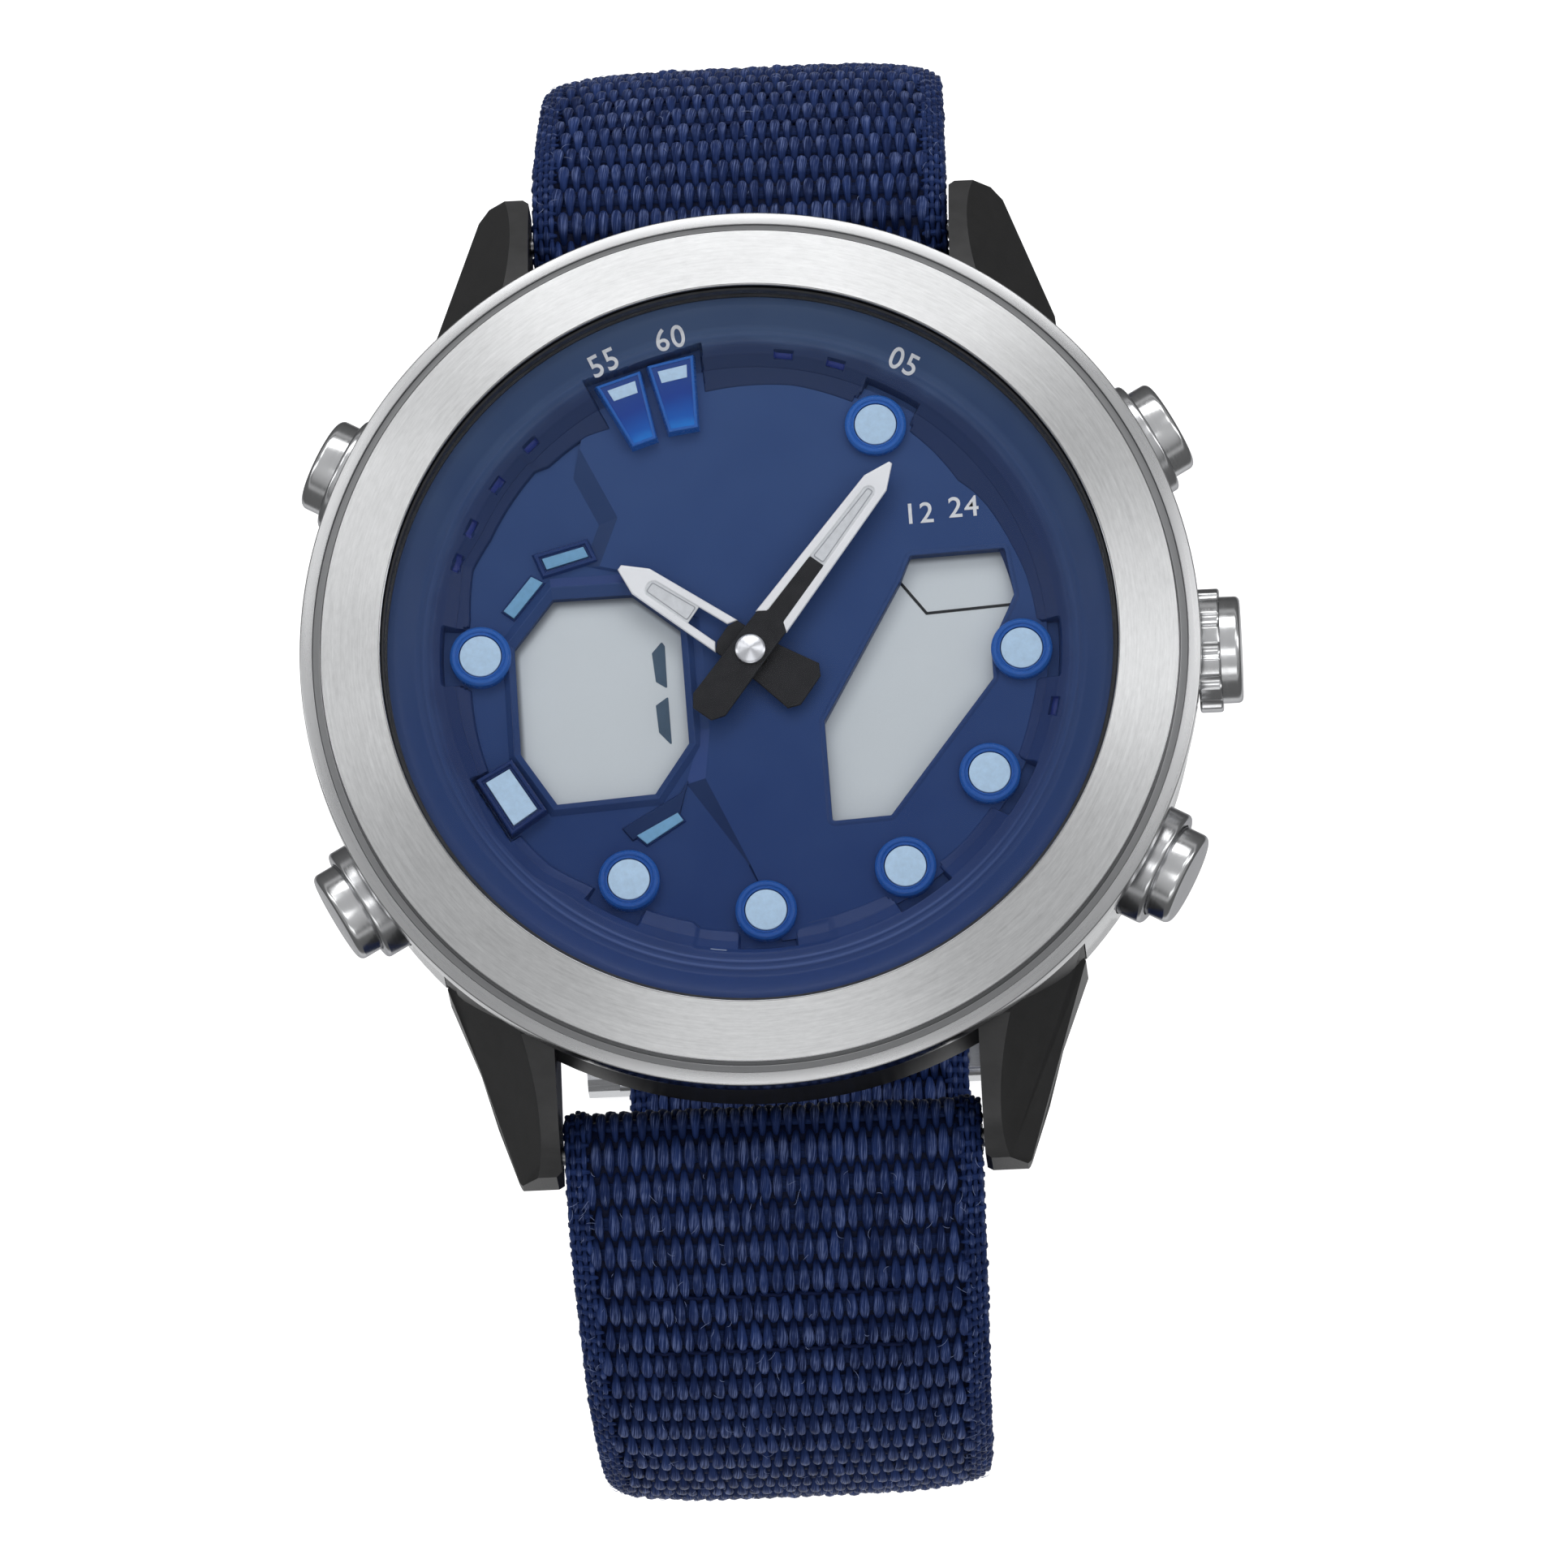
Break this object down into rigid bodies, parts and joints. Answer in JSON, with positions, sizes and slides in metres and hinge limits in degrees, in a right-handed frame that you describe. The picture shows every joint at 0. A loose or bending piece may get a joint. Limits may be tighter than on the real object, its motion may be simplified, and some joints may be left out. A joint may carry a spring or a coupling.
{
  "type": "ana digi watch",
  "caption": "Round wristwatch with analogue hands over two display windows, side pushers, a fluted crown and a buckled woven strap closed in a loop.",
  "frame": {"origin": "centre of the case back's outer face", "axes": "+Z out through the dial and crystal, +Y towards 12 o'clock, +X towards 3 o'clock and the crown"},
  "size_m": [0.0488, 0.0764, 0.0557],
  "materials": {
    "brushed_steel": "brushed",
    "polished_steel": "polished",
    "black_case": "satin black",
    "glass": "clear",
    "black_rubber": "matt",
    "dial_blue": "fine satin",
    "flange_blue": "satin",
    "lume": "matt",
    "hand_steel": "bright",
    "lcd_panel": "smooth",
    "board": "solder mask",
    "zebra": "striped",
    "holder_plastic": "moulded",
    "brass_parts": "turned",
    "copper_coil": "wound wire",
    "cell_steel": "plated",
    "strap_fabric": "woven",
    "keeper_leather": "woven"
  },
  "bodies": {
    "watch": {"bar_markers": "lume", "battery_clip": "cell_steel", "bezel": "brushed_steel", "buckle_spring_bar": "polished_steel", "case_back": "brushed_steel", "case_back_gasket": "black_rubber", "case_back_screws": "polished_steel", "case_body": "black_case", "circuit_board": "board", "coin_cell": "cell_steel", "crown_tube": "polished_steel", "crystal": "glass", "crystal_gasket": "black_rubber", "dial_plate": "dial_blue", "fixed_keeper": "keeper_leather", "flange_ring": "flange_blue", "framed_markers": "hand_steel", "lcd_left": "lcd_panel", "lcd_right": "lcd_panel", "lug_spring_bars": "polished_steel", "main_plate": "brass_parts", "motor_coil": "copper_coil", "motor_stator": "cell_steel", "movement_holder": "holder_plastic", "pusher_guides": "polished_steel", "pusher_seals": "black_rubber", "pusher_spring_10h": "cell_steel", "pusher_spring_2h": "cell_steel", "pusher_spring_4h": "cell_steel", "pusher_spring_8h": "cell_steel", "round_marker_lumes": "lume", "round_markers": "hand_steel", "side_band_left": "brushed_steel", "side_band_right": "brushed_steel", "strap_lower": "strap_fabric", "strap_upper": "strap_fabric", "zebra_strips": "zebra"},
    "minute_hand": {"cannon_pinion": "brass_parts", "minute_hand": "hand_steel", "minute_hand_lume": "lume", "hand_cap": "hand_steel"},
    "hour_hand": {"hour_wheel": "brass_parts", "hour_hand": "hand_steel", "hour_hand_lume": "lume"},
    "minute_wheel": {"minute_wheel": "brass_parts"},
    "crown_clutch": {"clutch_pinion": "brass_parts"},
    "crown": {"crown": "polished_steel", "crown_stem": "polished_steel", "crown_gasket": "black_rubber"},
    "buckle_frame": {"buckle_frame": "polished_steel"},
    "buckle_tongue": {"buckle_tongue": "polished_steel"},
    "free_keeper": {"free_keeper": "keeper_leather"},
    "pusher_2h": {"pusher_2h": "polished_steel", "pusher_clip_2h": "cell_steel"},
    "pusher_4h": {"pusher_4h": "polished_steel", "pusher_clip_4h": "cell_steel"},
    "pusher_8h": {"pusher_8h": "polished_steel", "pusher_clip_8h": "cell_steel"},
    "pusher_10h": {"pusher_10h": "polished_steel", "pusher_clip_10h": "cell_steel"}
  },
  "joints": [
    {"name": "minute_hand_turn", "type": "hinge", "parent": "watch", "child": "minute_hand", "pos_m": [0, 0, 0.0105], "axis": [0, 0, 1], "continuous": true},
    {"name": "minute_wheel_turn", "type": "hinge", "parent": "watch", "child": "minute_wheel", "pos_m": [0, 0.003, 0.008], "axis": [0, 0, 1], "continuous": true},
    {"name": "hour_hand_turn", "type": "hinge", "parent": "watch", "child": "hour_hand", "pos_m": [0, 0, 0.0102], "axis": [0, 0, 1], "continuous": true},
    {"name": "crown_turn", "type": "hinge", "parent": "watch", "child": "crown_clutch", "pos_m": [0.013, 0, 0.0062], "axis": [1, 0, 0], "continuous": true},
    {"name": "crown_pull", "type": "slide", "parent": "crown_clutch", "child": "crown", "axis": [1, 0, 0], "range_m": [0, 0.0009]},
    {"name": "push_2h", "type": "slide", "parent": "watch", "child": "pusher_2h", "axis": [-0.8746, -0.4848, 0], "range_m": [0, 0.0008], "stiffness_N_per_m": 150, "springref_m": -0.002, "deforming": ["pusher_spring_2h"]},
    {"name": "push_4h", "type": "slide", "parent": "watch", "child": "pusher_4h", "axis": [-0.8746, 0.4848, 0], "range_m": [0, 0.0008], "stiffness_N_per_m": 150, "springref_m": -0.002, "deforming": ["pusher_spring_4h"]},
    {"name": "push_8h", "type": "slide", "parent": "watch", "child": "pusher_8h", "axis": [0.8746, 0.4848, 0], "range_m": [0, 0.0008], "stiffness_N_per_m": 150, "springref_m": -0.002, "deforming": ["pusher_spring_8h"]},
    {"name": "push_10h", "type": "slide", "parent": "watch", "child": "pusher_10h", "axis": [0.8746, -0.4848, 0], "range_m": [0, 0.0008], "stiffness_N_per_m": 150, "springref_m": -0.002, "deforming": ["pusher_spring_10h"]},
    {"name": "buckle_frame_swing", "type": "hinge", "parent": "watch", "child": "buckle_frame", "pos_m": [0, 0.0005, -0.0388], "axis": [1, 0, 0], "range_deg": [0, 6]},
    {"name": "tongue_swing", "type": "hinge", "parent": "buckle_frame", "child": "buckle_tongue", "pos_m": [0, 0.0005, -0.0388], "axis": [1, 0, 0], "range_deg": [0, 10]},
    {"name": "free_keeper_slide", "type": "hinge", "parent": "watch", "child": "free_keeper", "pos_m": [0, 0.00975, -0.007], "axis": [1, 0, 0], "range_deg": [0, 12]}
  ],
  "couplings": [
    {"joint": "minute_wheel_turn", "follows": "minute_hand_turn", "ratio": -0.33333},
    {"joint": "hour_hand_turn", "follows": "minute_hand_turn", "ratio": 0.083333}
  ]
}
